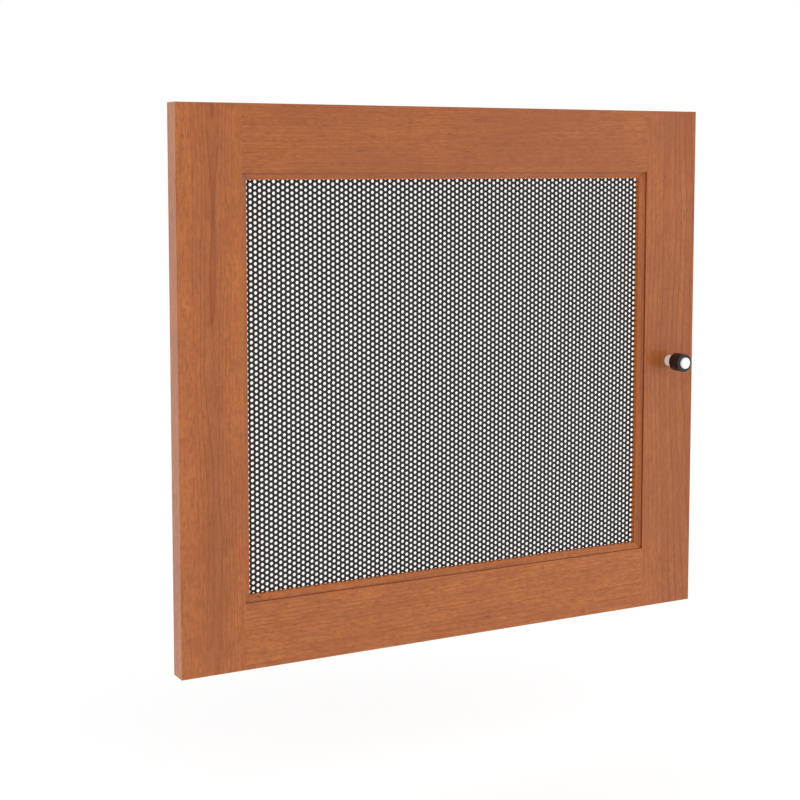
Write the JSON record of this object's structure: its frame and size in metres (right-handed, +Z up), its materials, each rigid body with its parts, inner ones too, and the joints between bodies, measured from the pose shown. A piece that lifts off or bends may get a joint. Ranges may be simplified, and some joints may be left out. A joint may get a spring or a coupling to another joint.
{
  "type": "perforated cabinet door",
  "caption": "Wooden-framed cabinet door with a perforated black steel panel, a round knob on its latch stile and concealed single-pivot hinges that let it swing open.",
  "frame": {"origin": "middle of the lower hinge plate's two screw holes, on the face that lies against the inside of the cabinet's side", "axes": "+X to the right along the door's width from the hinge edge to the latch edge, +Y from the front to the back, +Z up"},
  "size_m": [0.513, 0.0954, 0.464],
  "materials": {
    "frame_wood": "satin lacquered cherry",
    "bead_wood": "satin lacquered cherry",
    "panel_steel": "fine black powder coat",
    "knob_aluminium": "fine turned satin",
    "knob_sleeve": "satin black",
    "bumper_rubber": "soft, nearly clear",
    "hinge_cast": "nickel-plated casting",
    "hinge_steel": "nickel-plated steel",
    "screw_steel": "zinc-plated steel"
  },
  "bodies": {
    "hinge_mounts": {"upper_hinge_arm": "hinge_steel", "lower_hinge_arm": "hinge_steel", "upper_hinge_plate": "hinge_cast", "lower_hinge_plate": "hinge_cast", "arm_screws": "screw_steel"},
    "door": {"hinge_stile": "frame_wood", "latch_stile": "frame_wood", "top_rail": "frame_wood", "bottom_rail": "frame_wood", "top_bead": "bead_wood", "bottom_bead": "bead_wood", "hinge_side_bead": "bead_wood", "latch_side_bead": "bead_wood", "perforated_panel": "panel_steel", "knob_spindle": "knob_aluminium", "knob_grip": "knob_sleeve", "knob_screw": "screw_steel", "cup_screws": "screw_steel", "upper_bumper": "bumper_rubber", "upper_hinge_cup": "hinge_cast", "upper_hinge_pin": "hinge_steel", "lower_bumper": "bumper_rubber", "lower_hinge_cup": "hinge_cast", "lower_hinge_pin": "hinge_steel"}
  },
  "joints": [
    {"name": "door_swing", "type": "hinge", "parent": "hinge_mounts", "child": "door", "pos_m": [-0.0094, -0.0489, 0], "axis": [0, 0, -1], "range_deg": [0, 95]}
  ]
}
